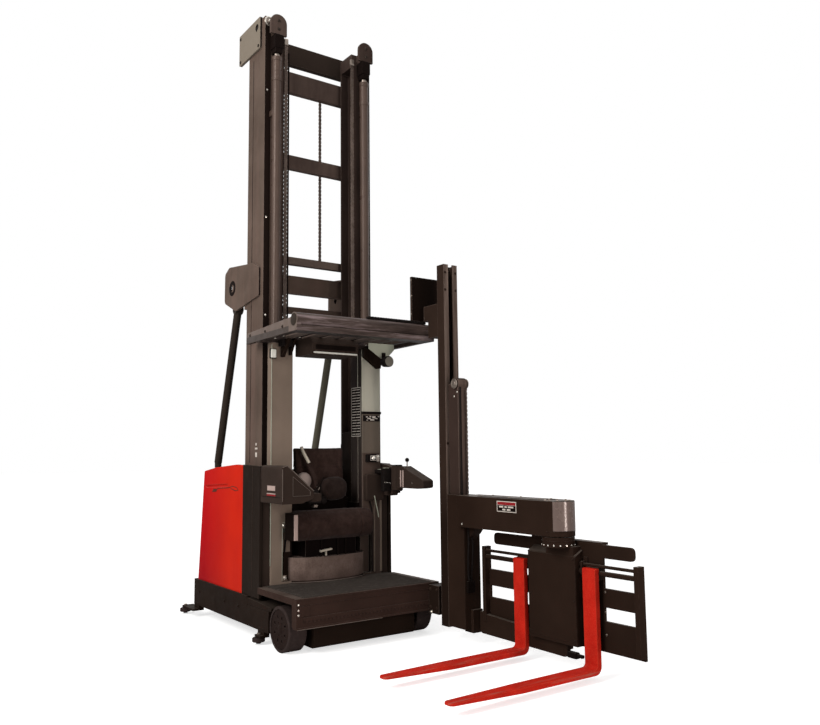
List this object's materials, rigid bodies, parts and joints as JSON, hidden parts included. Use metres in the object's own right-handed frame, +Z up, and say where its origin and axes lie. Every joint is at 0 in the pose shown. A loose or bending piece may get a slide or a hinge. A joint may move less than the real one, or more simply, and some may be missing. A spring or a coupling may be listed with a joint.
{
  "type": "swing-reach truck",
  "caption": "Narrow-aisle turret truck: lifting operator platform and guard on a tall mast, with a traversing side arm whose fork carriage swings half a turn.",
  "frame": {"origin": "on the ground below the middle of the truck's box, as parked", "axes": "+X towards the load handler, +Y the operator's left, +Z up"},
  "size_m": [4.372, 1.558, 5.519],
  "materials": {
    "paint_dark": "semi-gloss brown-black paint",
    "paint_black": "satin black paint",
    "paint_red": "gloss red paint",
    "fork_red": "satin orange-red paint",
    "grey_panel": "satin grey paint",
    "tyre": "dark polyurethane tread",
    "steel": "oiled steel",
    "fabric": "dark upholstery"
  },
  "bodies": {
    "chassis": {"chassis_frame": "paint_dark", "battery": "paint_black", "tractor_cover": "paint_red", "hood": "paint_black", "mast_shroud_left": "paint_black", "mast_shroud_right": "paint_black", "mast_outer": "paint_dark", "mast_stay_left": "paint_dark", "mast_stay_right": "paint_dark", "lift_cylinder_left": "paint_dark", "lift_cylinder_right": "paint_dark"},
    "guide_roller_front_left": {"guide_roller_front_left": "tyre"},
    "guide_roller_front_right": {"guide_roller_front_right": "tyre"},
    "guide_roller_rear_left": {"guide_roller_rear_left": "tyre"},
    "guide_roller_rear_right": {"guide_roller_rear_right": "tyre"},
    "drive_unit": {"drive_fork": "paint_black"},
    "drive_wheel": {"drive_wheel_hub": "paint_black", "drive_wheel_tread": "tyre"},
    "load_wheel_left": {"load_wheel_left_hub": "paint_black", "load_wheel_left_tread": "tyre"},
    "load_wheel_right": {"load_wheel_right_hub": "paint_black", "load_wheel_right_tread": "tyre"},
    "lift_mast": {"mast_inner": "paint_dark", "lift_rod_left": "steel", "lift_rod_right": "steel"},
    "platform": {"platform_floor": "paint_dark", "floor_mat": "paint_black", "platform_rack": "paint_black", "recess_wall": "paint_black", "mast_carriage_left": "paint_dark", "mast_carriage_right": "paint_dark", "platform_column_left": "grey_panel", "platform_column_right": "paint_black", "corner_panel_left": "paint_black", "corner_panel_right": "paint_black", "seat_base": "paint_black", "seat_cushion": "fabric", "seat_back": "fabric", "console_left": "paint_black", "console_right": "paint_black", "wrist_rest": "paint_black", "overhead_guard": "paint_dark", "cable_chain": "paint_black", "header_console": "paint_black"},
    "handler": {"handler_column": "paint_dark"},
    "aux_mast": {"aux_mast_inner": "paint_dark"},
    "reach_arm": {"reach_arm": "paint_dark"},
    "fork_carriage": {"fork_carriage": "paint_dark", "fork_back": "fork_red", "fork_front": "fork_red"}
  },
  "joints": [
    {"name": "drive_steer", "type": "hinge", "parent": "chassis", "child": "drive_unit", "pos_m": [-1.679, -0.022, 0.165], "axis": [0, 0, 1], "range_deg": [-90, 90]},
    {"name": "drive_spin", "type": "hinge", "parent": "drive_unit", "child": "drive_wheel", "pos_m": [-1.679, -0.022, 0.165], "axis": [0, 1, 0], "continuous": true},
    {"name": "load_wheel_left_spin", "type": "hinge", "parent": "chassis", "child": "load_wheel_left", "pos_m": [-0.179, 0.575, 0.176], "axis": [0, 1, 0], "continuous": true},
    {"name": "load_wheel_right_spin", "type": "hinge", "parent": "chassis", "child": "load_wheel_right", "pos_m": [-0.179, -0.619, 0.176], "axis": [0, 1, 0], "continuous": true},
    {"name": "guide_roller_front_left_spin", "type": "hinge", "parent": "chassis", "child": "guide_roller_front_left", "pos_m": [-0.534, 0.658, 0.04], "axis": [0, 0, 1], "continuous": true},
    {"name": "guide_roller_front_right_spin", "type": "hinge", "parent": "chassis", "child": "guide_roller_front_right", "pos_m": [-0.534, -0.702, 0.04], "axis": [0, 0, 1], "continuous": true},
    {"name": "guide_roller_rear_left_spin", "type": "hinge", "parent": "chassis", "child": "guide_roller_rear_left", "pos_m": [-2.134, 0.683, 0.04], "axis": [0, 0, 1], "continuous": true},
    {"name": "guide_roller_rear_right_spin", "type": "hinge", "parent": "chassis", "child": "guide_roller_rear_right", "pos_m": [-2.134, -0.727, 0.04], "axis": [0, 0, 1], "continuous": true},
    {"name": "mast_lift", "type": "slide", "parent": "chassis", "child": "lift_mast", "axis": [0, 0, 1], "range_m": [0, 2.4]},
    {"name": "platform_lift", "type": "slide", "parent": "lift_mast", "child": "platform", "axis": [0, 0, 1], "range_m": [0, 2.4]},
    {"name": "handler_traverse", "type": "slide", "parent": "platform", "child": "handler", "axis": [0, -1, 0], "range_m": [0, 1.2]},
    {"name": "aux_lift", "type": "slide", "parent": "handler", "child": "aux_mast", "axis": [0, 0, 1], "range_m": [0, 0.75]},
    {"name": "arm_lift", "type": "slide", "parent": "aux_mast", "child": "reach_arm", "axis": [0, 0, 1], "range_m": [0, 0.75]},
    {"name": "fork_swing", "type": "hinge", "parent": "reach_arm", "child": "fork_carriage", "pos_m": [1.521, 0.638, 0.935], "axis": [0, 0, 1], "range_deg": [0, 180]}
  ],
  "couplings": [
    {"joint": "platform_lift", "follows": "mast_lift", "ratio": 1},
    {"joint": "arm_lift", "follows": "aux_lift", "ratio": 1}
  ]
}
